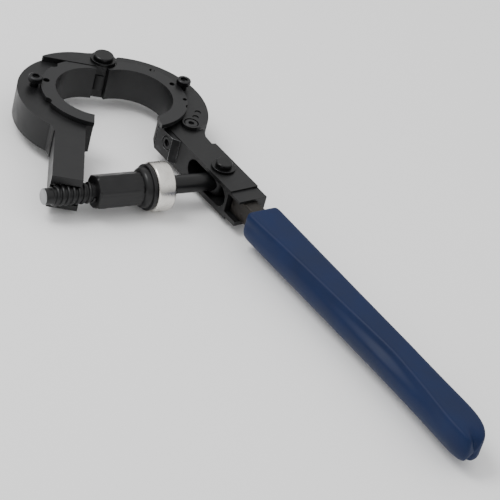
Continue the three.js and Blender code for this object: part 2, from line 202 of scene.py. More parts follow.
def scuff_group():
    """Sparse rubbed patches broken up by scratches: a mask from 0 to 1."""
    name = "Scuffs"
    if name in bpy.data.node_groups:
        return bpy.data.node_groups[name]
    group, given, out = new_group(name, {"Patch scale": 60.0, "Amount": 0.3}, ("Mask",))
    patches = noise(group, 60.0, 5.0, 0.7)
    group.links.new(given.outputs["Patch scale"], patches.inputs["Scale"])
    lines = noise(group, 900.0, 2.0, 0.5, stretched(group, (1.0, 0.12, 1.0)))
    level = math_node(group, "SUBTRACT", 1.0, math_node(group, "MULTIPLY", given.outputs["Amount"], 0.6))
    over = math_node(group, "SUBTRACT", patches.outputs["Fac"], math_node(group, "MULTIPLY", level, 0.75))
    held = spread(group, over, 0.0, 0.1)
    mask = math_node(group, "MULTIPLY", held, spread(group, lines.outputs["Fac"], 0.4, 0.62))
    group.links.new(mask, out.inputs["Mask"])
    return group


def lathe_group():
    """Turning marks: fine rings round an axis are drawn as bands along it."""
    name = "Turning marks"
    if name in bpy.data.node_groups:
        return bpy.data.node_groups[name]
    group, given, out = new_group(name, {"Lines per metre": 2600.0}, ("Height",))
    wave = group.nodes.new("ShaderNodeTexWave")
    wave.inputs["Distortion"].default_value = 1.2
    wave.inputs["Detail"].default_value = 2.0
    mapping = group.nodes.new("ShaderNodeMapping")
    mapping.inputs["Rotation"].default_value = (0.0, 0.0, SPINDLE_TURN)
    group.links.new(group.nodes.new("ShaderNodeTexCoord").outputs["Object"], mapping.inputs["Vector"])
    group.links.new(mapping.outputs["Vector"], wave.inputs["Vector"])
    group.links.new(given.outputs["Lines per metre"], wave.inputs["Scale"])
    group.links.new(wave.outputs["Fac"], out.inputs["Height"])
    return group


def use_group(tree, group, **values):
    node = tree.nodes.new("ShaderNodeGroup")
    node.node_tree = group
    for label, value in values.items():
        node.inputs[label.replace("_", " ").capitalize()].default_value = value
    return node


def blend_colour(tree, mask, first, second):
    """Mixes two ends by a mask. Each end is a colour, or a socket that gives one."""
    mix = tree.nodes.new("ShaderNodeMix")
    mix.data_type = "RGBA"
    tree.links.new(mask, mix.inputs["Factor"])
    ends = [s for s in mix.inputs if s.type == "RGBA"]
    for socket, value in zip(ends, (first, second)):
        if isinstance(value, tuple):
            socket.default_value = (*value, 1.0)
        else:
            tree.links.new(value, socket)
    return next(s for s in mix.outputs if s.type == "RGBA")


def start_material(name):
    material = bpy.data.materials.new(name)
    material.use_nodes = True
    tree = material.node_tree
    return material, tree, tree.nodes["Principled BSDF"]


def add_bump(tree, shader, height, strength, distance):
    bump = tree.nodes.new("ShaderNodeBump")
    bump.inputs["Strength"].default_value = strength
    bump.inputs["Distance"].default_value = distance
    tree.links.new(height, bump.inputs["Height"])
    tree.links.new(bump.outputs["Normal"], shader.inputs["Normal"])


def scaled(colour, factor):
    return tuple(min(1.0, c * factor) for c in colour)


# ------------------------------------------------------------------ finishes
def black_finish(name, lift=1.0, roughness=(0.36, 0.5), rub=0.25, grain=2600.0, metallic=0.35):
    """Blackened steel: mottled oxide, a fine grain and a little rubbed-through metal."""
    if name in bpy.data.materials:
        return bpy.data.materials[name]
    material, tree, shader = start_material(name)
    base = tuple(c * lift for c in colours().black)
    surface = use_group(tree, grain_group(), grain_scale=grain, mottle_scale=85.0)
    rubbed = use_group(tree, scuff_group(), patch_scale=70.0, amount=rub)
    colour = blend_colour(tree, surface.outputs["Mottle"], scaled(base, 0.8), scaled(base, 1.3))
    colour = blend_colour(tree, rubbed.outputs["Mask"], colour, scaled(base, 4.0))
    tree.links.new(colour, shader.inputs["Base Color"])
    rough = spread(tree, surface.outputs["Mottle"], 0.0, 1.0, *roughness)
    tree.links.new(rough, shader.inputs["Roughness"])
    shader.inputs["Metallic"].default_value = metallic
    add_bump(tree, shader, surface.outputs["Height"], 0.22, 0.00008)
    return material


def edge_finish():
    """The rounded edges, where the black has thinned and polished."""
    name = "Polished black edge"
    if name in bpy.data.materials:
        return bpy.data.materials[name]
    material, tree, shader = start_material(name)
    surface = use_group(tree, grain_group(), grain_scale=900.0, mottle_scale=160.0)
    dark, light = scaled(colours().black, 1.4), scaled(colours().black, 5.5)
    colour = blend_colour(tree, surface.outputs["Mottle"], dark, light)
    tree.links.new(colour, shader.inputs["Base Color"])
    tree.links.new(spread(tree, surface.outputs["Mottle"], 0.0, 1.0, 0.42, 0.28), shader.inputs["Roughness"])
    shader.inputs["Metallic"].default_value = 0.6
    add_bump(tree, shader, surface.outputs["Height"], 0.15, 0.00005)
    return material


def turned_finish(name, colour, roughness=(0.2, 0.34), lines=900.0, strength=0.25):
    """Bright turned metal with faint tool lines and a slow stain."""
    if name in bpy.data.materials:
        return bpy.data.materials[name]
    material, tree, shader = start_material(name)
    surface = use_group(tree, grain_group(), grain_scale=3000.0, mottle_scale=120.0)
    marks = use_group(tree, lathe_group(), lines_per_metre=lines)
    tint = blend_colour(tree, surface.outputs["Mottle"], scaled(colour, 0.86), scaled(colour, 1.06))
    tree.links.new(tint, shader.inputs["Base Color"])
    tree.links.new(spread(tree, surface.outputs["Mottle"], 0.0, 1.0, *roughness), shader.inputs["Roughness"])
    shader.inputs["Metallic"].default_value = 1.0
    fine = math_node(tree, "MULTIPLY", surface.outputs["Height"], 0.6)
    height = math_node(tree, "ADD", marks.outputs["Height"], fine)
    add_bump(tree, shader, height, strength, 0.00004)
    return material


def bar_finish():
    """Dull rolled bar with a brown scale."""
    name = "Rolled bar steel"
    if name in bpy.data.materials:
        return bpy.data.materials[name]
    material, tree, shader = start_material(name)
    surface = use_group(tree, grain_group(), grain_scale=1500.0, mottle_scale=180.0)
    rubbed = use_group(tree, scuff_group(), patch_scale=120.0, amount=0.5)
    base = colours().bar
    colour = blend_colour(tree, surface.outputs["Mottle"], scaled(base, 0.7), scaled(base, 1.35))
    colour = blend_colour(tree, rubbed.outputs["Mask"], colour, scaled(base, 2.4))
    tree.links.new(colour, shader.inputs["Base Color"])
    tree.links.new(spread(tree, surface.outputs["Mottle"], 0.0, 1.0, 0.34, 0.52), shader.inputs["Roughness"])
    shader.inputs["Metallic"].default_value = 0.75
    add_bump(tree, shader, surface.outputs["Height"], 0.35, 0.0001)
    return material


def vinyl_finish():
    """Dipped vinyl: deep blue, softly glossy, with a slow ripple and fine pores."""
    name = "Dipped blue vinyl"
    if name in bpy.data.materials:
        return bpy.data.materials[name]
    material, tree, shader = start_material(name)
    surface = use_group(tree, grain_group(), grain_scale=1400.0, mottle_scale=38.0)
    ripple = noise(tree, 70.0, 2.0, 0.4)
    base = colours().vinyl
    colour = blend_colour(tree, surface.outputs["Mottle"], scaled(base, 0.88), scaled(base, 1.16))
    tree.links.new(colour, shader.inputs["Base Color"])
    tree.links.new(spread(tree, surface.outputs["Mottle"], 0.0, 1.0, 0.47, 0.56), shader.inputs["Roughness"])
    shader.inputs["Metallic"].default_value = 0.0
    shader.inputs["Specular IOR Level"].default_value = 0.22
    fine = math_node(tree, "MULTIPLY", surface.outputs["Height"], 0.12)
    add_bump(tree, shader, math_node(tree, "ADD", ripple.outputs["Fac"], fine), 0.3, 0.0006)
    return material


# ------------------------------------------------------------------ mesh helpers
def settle(piece, name, body, replaces=(), materials=()):
    """Names a finished piece, gives it its finishes and hangs it on its body."""
    piece.name = name
    for material in materials:
        piece.data.materials.append(material)
    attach(piece, body)
    if replaces:
        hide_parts(*replaces)
    return piece


def new_piece(name, mesh):
    piece = bpy.data.objects.new(name, mesh)
    bpy.context.scene.collection.objects.link(piece)
    return piece


def add_edges(piece, width, segments=2, angle=26.0, edge_slot=1):
    bevel = piece.modifiers.new("Edge break", "BEVEL")
    bevel.width = width
    bevel.segments = segments
    bevel.limit_method = "ANGLE"
    bevel.angle_limit = math.radians(angle)
    bevel.use_clamp_overlap = True
    bevel.material = edge_slot
    weighted = piece.modifiers.new("Even shading", "WEIGHTED_NORMAL")
    weighted.mode = "FACE_AREA"
    weighted.weight = 100
    weighted.keep_sharp = True
    return bevel


def dressed(node, name, body, finish, width, segments=2, angle=26.0, edge=None):
    """A merged copy of a CAD node with rounded edges and smooth curves, in place of the node."""
    mesh = frame["nodes"][node].data.copy()
    mesh.materials.clear()
    shape = bmesh.new()
    shape.from_mesh(mesh)
    bmesh.ops.remove_doubles(shape, verts=shape.verts, dist=3e-6)
    bmesh.ops.dissolve_degenerate(shape, dist=2e-5, edges=shape.edges)
    flat = math.radians(0.6)
    bmesh.ops.dissolve_limit(shape, angle_limit=flat, verts=shape.verts, edges=shape.edges)
    for face in shape.faces:
        face.smooth = True
        face.material_index = 0
    shape.to_mesh(mesh)
    shape.free()
    piece = new_piece(name, mesh)
    materials = [finish, edge or edge_finish()]
    settle(piece, name, body, [node], materials)
    add_edges(piece, width, segments, angle)
    return piece


def plain_mesh(builder, name):
    """The evaluated result of an object that carries a node modifier, as a mesh of its own."""
    graph = bpy.context.evaluated_depsgraph_get()
    mesh = bpy.data.meshes.new_from_object(builder.evaluated_get(graph))
    mesh.name = name
    bpy.data.objects.remove(builder)
    return mesh


def run_tree(tree, values, name):
    """Runs a geometry tree with its inputs set by identifier and returns the plain mesh."""
    builder = new_piece(name + "_builder", bpy.data.meshes.new(name + "_seed"))
    modifier = builder.modifiers.new("Tree", "NODES")
    modifier.node_group = tree
    for item in tree.interface.items_tree:
        if item.item_type == "SOCKET" and item.in_out == "INPUT" and item.name in values:
            modifier[item.identifier] = values[item.name]
    bpy.context.view_layer.update()
    return plain_mesh(builder, name)


def tree_with(name, floats=(), ints=(), vectors=()):
    tree = bpy.data.node_groups.new(name, "GeometryNodeTree")
    tree.interface.new_socket("Geometry", in_out="OUTPUT", socket_type="NodeSocketGeometry")
    for label in floats:
        tree.interface.new_socket(label, in_out="INPUT", socket_type="NodeSocketFloat")
    for label in ints:
        tree.interface.new_socket(label, in_out="INPUT", socket_type="NodeSocketInt")
    for label in vectors:
        tree.interface.new_socket(label, in_out="INPUT", socket_type="NodeSocketVector")
    tree.interface.new_socket("Finish", in_out="INPUT", socket_type="NodeSocketMaterial")
    return tree, tree.nodes.new("NodeGroupInput"), tree.nodes.new("NodeGroupOutput")


def end_tree(tree, given, out, geometry):
    """Place, Realize Instances and Set Material close every tree."""
    place = tree.nodes.new("GeometryNodeTransform")
    tree.links.new(geometry, place.inputs["Geometry"])
    tree.links.new(given.outputs["Place"], place.inputs["Translation"])
    tree.links.new(given.outputs["Turn"], place.inputs["Rotation"])
    whole = tree.nodes.new("GeometryNodeRealizeInstances")
    tree.links.new(place.outputs["Geometry"], whole.inputs["Geometry"])
    finish = tree.nodes.new("GeometryNodeSetMaterial")
    tree.links.new(whole.outputs["Geometry"], finish.inputs["Geometry"])
    tree.links.new(given.outputs["Finish"], finish.inputs["Material"])
    tree.links.new(finish.outputs["Geometry"], out.inputs["Geometry"])


# ------------------------------------------------------------------ the spindle's axis
def joint_named(name):
    return next(j for j in frame["joints"] if j["name"] == name)


SPIN = joint_named("feed_screw_spin")
PIVOT = Vector(SPIN["pos_m"])
AXIS = Vector(SPIN["axis"]).normalized()
SPINDLE_TURN = -math.atan2(AXIS.y, AXIS.x)


def on_axis():
    """Rotation that takes Z to the spindle's axis, with Y up."""
    up = Vector((0.0, 0.0, 1.0))
    side = up.cross(AXIS).normalized()
    return Matrix((side, up, AXIS)).transposed()


def turned_mesh(name, profile, segments=96, closed=False):
    """A lathe mesh about the spindle's axis from (station, radius) pairs in millimetres."""
    shape = bmesh.new()
    turn = on_axis()
    rings = []
    for station, radius in profile:
        if radius <= 0.0:
            rings.append([shape.verts.new(PIVOT + AXIS * station * MM)])
            continue
        ring = []
        for i in range(segments):
            a = 2.0 * math.pi * i / segments
            local = Vector((radius * math.cos(a), radius * math.sin(a), station)) * MM
            ring.append(shape.verts.new(PIVOT + turn @ local))
        rings.append(ring)
    pairs = list(zip(rings, rings[1:]))
    if closed:
        pairs.append((rings[-1], rings[0]))
    for low, high in pairs:
        for i in range(segments):
            j = (i + 1) % segments
            corners = [low[i % len(low)], low[j % len(low)], high[j % len(high)], high[i % len(high)]]
            corners = list(dict.fromkeys(corners))
            if len(corners) > 2:
                shape.faces.new(corners)
    bmesh.ops.recalc_face_normals(shape, faces=shape.faces)
    for face in shape.faces:
        face.smooth = True
    mesh = bpy.data.meshes.new(name)
    shape.to_mesh(mesh)
    shape.free()
    return mesh


# ------------------------------------------------------------------ geometry trees
def helix_tree():
    """One ridge wound round Z: a spiral swept by a small round section."""
    tree, given, out = tree_with("Helical ridge", ("Radius", "Pitch", "Length", "Rib"), (), ("Place", "Turn"))
    turns = tree.nodes.new("ShaderNodeMath")
    turns.operation = "DIVIDE"
    tree.links.new(given.outputs["Length"], turns.inputs[0])
    tree.links.new(given.outputs["Pitch"], turns.inputs[1])
    spiral = tree.nodes.new("GeometryNodeCurveSpiral")
    spiral.inputs["Resolution"].default_value = 48
    tree.links.new(turns.outputs[0], spiral.inputs["Rotations"])
    tree.links.new(given.outputs["Radius"], spiral.inputs["Start Radius"])
    tree.links.new(given.outputs["Radius"], spiral.inputs["End Radius"])
    tree.links.new(given.outputs["Length"], spiral.inputs["Height"])
    upright = tree.nodes.new("GeometryNodeSetCurveNormal")
    upright.mode = "Z_UP"
    tree.links.new(spiral.outputs["Curve"], upright.inputs["Curve"])
    section = tree.nodes.new("GeometryNodeCurvePrimitiveCircle")
    section.inputs["Resolution"].default_value = 8
    tree.links.new(given.outputs["Rib"], section.inputs["Radius"])
    swept = tree.nodes.new("GeometryNodeCurveToMesh")
    swept.inputs["Fill Caps"].default_value = True
    tree.links.new(upright.outputs["Curve"], swept.inputs["Curve"])
    tree.links.new(section.outputs["Curve"], swept.inputs["Profile Curve"])
    end_tree(tree, given, out, swept.outputs["Mesh"])
    return tree


def rib_tree():
    """A row of half-round ribs along Z, for the half nut's teeth."""
    tree, given, out = tree_with("Half nut teeth", ("Radius", "Pitch", "Rib"), ("Count",), ("Place", "Turn"))
    step = tree.nodes.new("ShaderNodeCombineXYZ")
    tree.links.new(given.outputs["Pitch"], step.inputs["Z"])
    line = tree.nodes.new("GeometryNodeMeshLine")
    line.mode = "OFFSET"
    tree.links.new(given.outputs["Count"], line.inputs["Count"])
    tree.links.new(step.outputs["Vector"], line.inputs["Offset"])
    arc = tree.nodes.new("GeometryNodeCurveArc")
    arc.inputs["Resolution"].default_value = 24
    arc.inputs["Start Angle"].default_value = math.radians(98.0)
    arc.inputs["Sweep Angle"].default_value = math.radians(164.0)
    tree.links.new(given.outputs["Radius"], arc.inputs["Radius"])
    section = tree.nodes.new("GeometryNodeCurvePrimitiveCircle")
    section.inputs["Resolution"].default_value = 6
    tree.links.new(given.outputs["Rib"], section.inputs["Radius"])
    swept = tree.nodes.new("GeometryNodeCurveToMesh")
    swept.inputs["Fill Caps"].default_value = True
    tree.links.new(arc.outputs["Curve"], swept.inputs["Curve"])
    tree.links.new(section.outputs["Curve"], swept.inputs["Profile Curve"])
    copies = tree.nodes.new("GeometryNodeInstanceOnPoints")
    tree.links.new(line.outputs["Mesh"], copies.inputs["Points"])
    tree.links.new(swept.outputs["Mesh"], copies.inputs["Instance"])
    end_tree(tree, given, out, copies.outputs["Instances"])
    return tree


# ------------------------------------------------------------------ operators
class CUTTER_OT_stage(bpy.types.Operator):
    """Floor, soft lights and camera"""

    bl_idname = "cutter.stage"
    bl_label = "Stage"

    def execute(self, context):
        make_floor()
        make_lights()
        make_camera()
        return {"FINISHED"}


def make_floor():
    mesh = bpy.data.meshes.new("floor")
    half, low = 4.0, CAD_BOX[0].z - 0.0004
    corners = [(-half, -half, low), (half, -half, low), (half, half, low), (-half, half, low)]
    mesh.from_pydata(corners, [], [(0, 1, 2, 3)])
    floor = new_piece("floor", mesh)
    material, tree, shader = start_material("Pale floor")
    shade = noise(tree, 3.0, 2.0)
    colour = blend_colour(tree, shade.outputs["Fac"], (0.95, 0.95, 0.95), (0.97, 0.97, 0.97))
    tree.links.new(colour, shader.inputs["Base Color"])
    shader.inputs["Roughness"].default_value = 0.9
    mesh.materials.append(material)


def make_light(name, place, target, size, power):
    data = bpy.data.lights.new(name, "AREA")
    data.shape = "DISK"
    data.size = size
    data.energy = power
    light = bpy.data.objects.new(name, data)
    light.location = place
    light.rotation_euler = (Vector(target) - Vector(place)).to_track_quat("-Z", "Y").to_euler()
    bpy.context.scene.collection.objects.link(light)
    return light


def make_lights():
    world = bpy.data.worlds.new("Soft room")
    world.use_nodes = True
    tree = world.node_tree
    height = tree.nodes.new("ShaderNodeSeparateXYZ")
    tree.links.new(tree.nodes.new("ShaderNodeTexCoord").outputs["Generated"], height.inputs["Vector"])
    shade = spread(tree, height.outputs["Z"], 0.08, 0.55, 0.42, 1.12)
    tree.links.new(shade, tree.nodes["Background"].inputs["Strength"])
    tree.nodes["Background"].inputs["Color"].default_value = (1.0, 1.0, 1.0, 1.0)
    bpy.context.scene.world = world
    make_light("key", (-0.6, -0.75, 1.5), (-0.05, 0.0, 0.0), 0.9, 16.0)


CAMERA_LENS = 158.4
CAMERA_PLACE = (0.85984, -0.81434, 0.84726)
CAMERA_TURN = (54.2387, -12.9912, 54.8464)


def make_camera():
    data = bpy.data.cameras.new("camera")
    data.lens = CAMERA_LENS
    data.sensor_width = 36.0
    data.clip_start, data.clip_end = 0.05, 20.0
    camera = bpy.data.objects.new("camera", data)
    camera.location = CAMERA_PLACE
    camera.rotation_euler = Euler([math.radians(a) for a in CAMERA_TURN], "XYZ")
    bpy.context.scene.collection.objects.link(camera)
    bpy.context.scene.camera = camera


class CUTTER_OT_jaws(bpy.types.Operator):
    """Both jaws with their broken edges and black finish"""

    bl_idname = "cutter.jaws"
    bl_label = "Jaws"

    def execute(self, context):
        finish = black_finish("Blackened jaw steel", 1.15)
        dressed("left_jaw", "jaw_left", "left_side", finish, sizes().edge_break)
        dressed("right_jaw", "jaw_right", "right_side", finish, sizes().edge_break)
        return {"FINISHED"}


# Which way the tail's side faces look as the jaw lies at rest, and where the axis passes just inside
# them. Stations are millimetres along the spindle's axis from its pivot.
TAIL_FACING = Vector((-0.5446, -0.8387, 0.0)).normalized()
TAIL_STATIONS = (106.2, 128.6)
TOOTH_START = 97.9
TOOTH_COUNT = 11
TOOTH_RADIUS = 8.05 * MM  # far enough out to clear the turning thread
TOOTH_RIB = 0.4 * MM


def cut_to_tail(mesh):
    """Trims the teeth where they would stand proud of the tail's two side faces."""
    shape = bmesh.new()
    shape.from_mesh(mesh)
    for station, facing in zip(TAIL_STATIONS, (-TAIL_FACING, TAIL_FACING)):
        parts = shape.verts[:] + shape.edges[:] + shape.faces[:]
        cut = bmesh.ops.bisect_plane(
            shape, geom=parts, plane_co=PIVOT + AXIS * station * MM, plane_no=facing, clear_outer=True)
        rim = [part for part in cut["geom_cut"] if isinstance(part, bmesh.types.BMEdge)]
        bmesh.ops.holes_fill(shape, edges=rim)
    shape.to_mesh(mesh)
    shape.free()


class CUTTER_OT_half_nut(bpy.types.Operator):
    """Thread teeth in the groove at the end of the left jaw's tail"""

    bl_idname = "cutter.half_nut"
    bl_label = "Half nut teeth"

    def execute(self, context):
        finish = black_finish("Blackened jaw steel", 1.15)
        values = {
            "Radius": TOOTH_RADIUS, "Pitch": sizes().thread_pitch, "Rib": TOOTH_RIB, "Count": TOOTH_COUNT,
            "Place": PIVOT + AXIS * TOOTH_START * MM, "Turn": on_axis().to_euler(), "Finish": finish,
        }
        mesh = run_tree(rib_tree(), values, "half_nut_teeth")
        cut_to_tail(mesh)
        settle(new_piece("half_nut_teeth", mesh), "half_nut_teeth", "left_side")
        return {"FINISHED"}


class CUTTER_OT_inserts(bpy.types.Operator):
    """The two half-ring inserts"""

    bl_idname = "cutter.inserts"
    bl_label = "Inserts"

    def execute(self, context):
        finish = black_finish("Blackened insert steel", 1.45, (0.32, 0.44), 0.2)
        dressed("left_insert", "insert_left", "left_side", finish, 0.0004)
        dressed("right_insert", "insert_right", "right_side", finish, 0.0004)
        return {"FINISHED"}


class CUTTER_OT_block(bpy.types.Operator):
    """The block that carries the blade, the pivot and the handle"""

    bl_idname = "cutter.block"
    bl_label = "Block"

    def execute(self, context):
        finish = black_finish("Blackened block steel", 1.0)
        dressed("handle_block", "block", "right_side", finish, sizes().edge_break)
        return {"FINISHED"}


def knurl_tree():
    """Fine upright ridges standing in a ring round Z."""
    tree, given, out = tree_with("Knurl ridges", ("Radius", "Height", "Ridge"), ("Count",), ("Place", "Turn"))
    circle = tree.nodes.new("GeometryNodeMeshCircle")
    tree.links.new(given.outputs["Count"], circle.inputs["Vertices"])
    tree.links.new(given.outputs["Radius"], circle.inputs["Radius"])
    ridge = tree.nodes.new("GeometryNodeMeshCylinder")
    ridge.inputs["Vertices"].default_value = 6
    tree.links.new(given.outputs["Ridge"], ridge.inputs["Radius"])
    tree.links.new(given.outputs["Height"], ridge.inputs["Depth"])
    copies = tree.nodes.new("GeometryNodeInstanceOnPoints")
    tree.links.new(circle.outputs["Mesh"], copies.inputs["Points"])
    tree.links.new(ridge.outputs["Mesh"], copies.inputs["Instance"])
    end_tree(tree, given, out, copies.outputs["Instances"])
    return tree


KNURL_RIDGE = 0.26 * MM
KNURL_HEIGHT = 2.6 * MM
KNURL_SINK = 0.12 * MM  # how far the ridges' centres stand inside the head
KNURL_DROP = 2.1 * MM  # from the head's top to the middle of the ridges


def make_knurl(node, body, finish):
    """The grip ridges round the head of a clamp screw."""
    low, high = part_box(node)
    middle = (low + high) / 2.0
    radius = (high.x - low.x) / 2.0
    values = {
        "Radius": radius - KNURL_SINK, "Height": KNURL_HEIGHT, "Ridge": KNURL_RIDGE,
        "Count": sizes().knurl_count, "Place": (middle.x, middle.y, high.z - KNURL_DROP),
        "Turn": (0.0, 0.0, 0.0), "Finish": finish,
    }
    mesh = run_tree(knurl_tree(), values, node + "_knurl")
    settle(new_piece(node + "_knurl", mesh), node + "_knurl", body)


class CUTTER_OT_fasteners(bpy.types.Operator):
    """Screws, pins, washers and retaining rings"""

    bl_idname = "cutter.fasteners"
    bl_label = "Fasteners"

    def execute(self, context):
        finish = black_finish("Blackened screw steel", 0.8, (0.26, 0.4), 0.15, 3200.0, 0.5)
        bright = turned_finish("Bright fastener steel", colours().steel)
        dressed("left_insert_screw", "clamp_screw_left", "left_side", finish, sizes().fine_break)
        for node, body in (("left_insert_screw", "left_side"), ("right_insert_screw", "right_side")):
            make_knurl(node, body, finish)
        flush = black_finish("Flush screw steel", 1.3, (0.34, 0.46), 0.1, 3200.0, 0.3)
        for node in ("cheek_screw", "dowel_pin_1", "dowel_pin_2"):
            dressed(node, node + "_flush", "right_side", flush, sizes().fine_break, edge=flush)
        for node, name in (
            ("right_insert_screw", "clamp_screw_right"), ("hinge_pin", "hinge_pin_headed"),
            ("hinge_washer", "hinge_washer_plain"), ("blade_screw", "blade_screw_socket"),
            ("pivot_pin", "pivot_pin_headed"), ("pivot_washer", "pivot_washer_plain"),
        ):
            dressed(node, name, "right_side", finish, sizes().fine_break)
        for node in ("hinge_retaining_ring", "pivot_retaining_ring", "handle_roll_pin"):
            dressed(node, node + "_bright", "right_side", bright, 0.0002, edge=bright)
        return {"FINISHED"}


class CUTTER_OT_blade(bpy.types.Operator):
    """The ground blade with its bright cutting edge"""

    bl_idname = "cutter.blade"
    bl_label = "Blade"

    def execute(self, context):
        finish = black_finish("Blade steel", 1.6, (0.28, 0.4), 0.5, 1800.0, 0.7)
        bright = turned_finish("Ground edge steel", scaled(colours().steel, 1.3))
        dressed("blade", "blade_plate", "right_side", finish, 0.00022, edge=bright)
        return {"FINISHED"}


class CUTTER_OT_spindle(bpy.types.Operator):
    """The swinging rod and its zinc-plated thrust ring"""

    bl_idname = "cutter.spindle"
    bl_label = "Spindle"

    def execute(self, context):
        finish = black_finish("Blackened rod steel", 0.9, (0.26, 0.38), 0.2)
        dressed("swing_rod", "rod", "spindle", finish, 0.0004)
        zinc = turned_finish("Zinc plate", colours().zinc)
        profile = [
            (41.6, 6.9), (41.6, 15.6), (41.75, 16.1), (42.1, 16.6), (42.7, 16.9), (43.2, 17.0), (53.1, 17.0),
            (53.6, 16.9), (54.2, 16.6), (54.55, 16.1), (54.7, 15.6), (54.7, 6.9),
        ]
        ring = new_piece("ring", turned_mesh("ring", profile, 128, True))
        settle(ring, "ring_zinc", "spindle", ["thrust_ring"], [zinc])
        return {"FINISHED"}


# Millimetres along the spindle's axis from its pivot, and radii about it
STUB_BORE = (72.4, 4.4)  # depth and radius of the blind bore that clears the rod's stub
HEXAGON = {"start": 62.2, "stop": 96.1, "flats": 22.0}
SLEEVE_HOLE = 6.0  # radius of the hexagon's hidden hole, just under that of the thread's core
THREAD_START = 97.1
THREAD_TURNS = 7.45
TIP_START = 132.4


def feed_profile():
    """The blind bore for the rod's stub, disc, collar and threaded core, as (station, radius) pairs."""
    root = sizes().thread_root / MM
    depth, bore = STUB_BORE
    return [
        (depth, 0.0), (depth, bore), (55.0, bore), (55.0, 15.4), (55.15, 15.8),
        (55.6, 16.0), (57.4, 16.0), (57.85, 15.8), (58.0, 15.4),
        (58.0, 14.2), (58.4, 14.1), (60.6, 13.9), (61.6, 13.4), (62.6, 12.2), (63.0, 11.2),
        (95.4, 10.4), (96.0, 9.4), (96.0, root), (126.6, root), (127.0, 5.5), (132.2, 5.5), (132.7, 5.35),
        (133.0, 4.9), (133.0, 0.0),
    ]


def hexagon_mesh(name, start, stop, flats):
    """A hexagon sleeve along the spindle's axis, with both ends rounded off by a turned chamfer."""
    corner = flats / math.sqrt(3.0)
    shape = bmesh.new()
    turn = on_axis()
    rings = []
    count = 96
    for station, limit in (
        (start, flats / 2 - 0.6), (start + 0.7, flats / 2 + 0.4), (start + 1.8, corner), (stop - 1.4, corner),
        (stop - 0.5, flats / 2 + 0.3), (stop, flats / 2 - 0.7), (stop, SLEEVE_HOLE),
        (start, SLEEVE_HOLE),
    ):
        ring = []
        for i in range(count):
            a = 2.0 * math.pi * i / count
            within = math.cos(((a + math.pi / 6.0) % (math.pi / 3.0)) - math.pi / 6.0)
            radius = min(flats / 2.0 / within, limit, corner - 0.25)
            local = Vector((radius * math.cos(a), radius * math.sin(a), station)) * MM
            ring.append(shape.verts.new(PIVOT + turn @ local))
        rings.append(ring)
    for low, high in zip(rings, rings[1:] + rings[:1]):
        for i in range(count):
            j = (i + 1) % count
            shape.faces.new([low[i], low[j], high[j], high[i]])
    bmesh.ops.recalc_face_normals(shape, faces=shape.faces)
    mesh = bpy.data.meshes.new(name)
    shape.to_mesh(mesh)
    shape.free()
    return mesh


def sharp_smooth(mesh, angle):
    mesh.shade_smooth()
    mesh.set_sharp_from_angle(angle=math.radians(angle))


class CUTTER_OT_feed_screw(bpy.types.Operator):
    """The feed screw: disc, collar, hexagon, helical thread and bare tip"""

    bl_idname = "cutter.feed_screw"
    bl_label = "Feed screw"

    def execute(self, context):
        finish = black_finish("Blackened screw spindle", 1.0, (0.3, 0.42), 0.3)
        bare = turned_finish("Bare tip steel", scaled(colours().steel, 0.7), (0.3, 0.45), 500.0)
        core = new_piece("feed_core", turned_mesh("feed_core", feed_profile(), 96))
        settle(core, "feed_core", "feed", ["feed_screw"], [finish, bare])
        for face in core.data.polygons:
            middle = (face.center - PIVOT).dot(AXIS) / MM
            face.material_index = 1 if middle > TIP_START else 0
        sharp_smooth(core.data, 34.0)
        hexagon = new_piece("feed_hexagon", hexagon_mesh("feed_hexagon", **HEXAGON))
        settle(hexagon, "feed_hexagon", "feed", (), [finish])
        sharp_smooth(hexagon.data, 20.0)
        pitch = sizes().thread_pitch
        values = {
            "Radius": sizes().thread_root - 0.05 * MM, "Pitch": pitch, "Length": THREAD_TURNS * pitch,
            "Rib": sizes().thread_rib, "Place": PIVOT + AXIS * THREAD_START * MM,
            "Turn": on_axis().to_euler(), "Finish": finish,
        }
        mesh = run_tree(helix_tree(), values, "feed_thread")
        mesh.shade_smooth()
        settle(new_piece("feed_thread", mesh), "feed_thread", "feed")
        return {"FINISHED"}


class CUTTER_OT_handle(bpy.types.Operator):
    """The flat bar of the handle"""

    bl_idname = "cutter.handle"
    bl_label = "Handle bar"

    def execute(self, context):
        finish = bar_finish()
        dressed("handle_bar", "bar", "right_side", finish, 0.0008, 3, edge=finish)
        return {"FINISHED"}


# x, far side, ridge, near side at mid height, top, in millimetres from the closed bore's centre
GRIP_ROWS = (
    (141.0, 28.0, 6.6, 5.2, 23.6), (142.2, 29.1, 5.5, 4.1, 24.3), (144.0, 29.5, 5.0, 3.7, 24.5),
    (148.0, 29.5, 4.9, 3.6, 24.5), (165.0, 29.3, 5.9, 3.6, 24.5), (182.0, 29.1, 7.0, 3.8, 24.5),
    (222.0, 28.6, 8.5, 4.0, 24.5), (261.0, 28.1, 10.2, 4.0, 24.5), (285.0, 27.7, 11.5, 4.1, 24.5),
    (298.0, 27.5, 11.6, 4.0, 24.5), (318.0, 27.2, 9.8, 3.8, 24.5), (337.0, 27.0, 7.9, 3.4, 24.5),
    (351.0, 26.8, 6.0, 2.8, 24.5), (361.0, 26.5, 4.9, 2.4, 24.5), (371.0, 24.6, 4.8, 2.1, 24.4),
    (377.0, 22.0, 5.6, 2.8, 24.0), (380.6, 19.6, 7.0, 4.4, 23.0), (382.4, 17.0, 9.0, 6.6, 21.2),
)
GRIP_POINTS = 40
BORE_CENTRE = Vector((-161.40382, 29.47705, 5.0))  # the closed bore's centre in the frame, in millimetres
BAR_CLEARANCE = 0.2 * MM
GRIP_END = 376.0
END_SQUEEZE = {377.0: 0.94, 380.6: 0.84, 382.4: 0.66}
GRIP_MIDDLE = 12.2
LOBE = {"reach": 1.6, "y": 5.0, "width": 3.6}
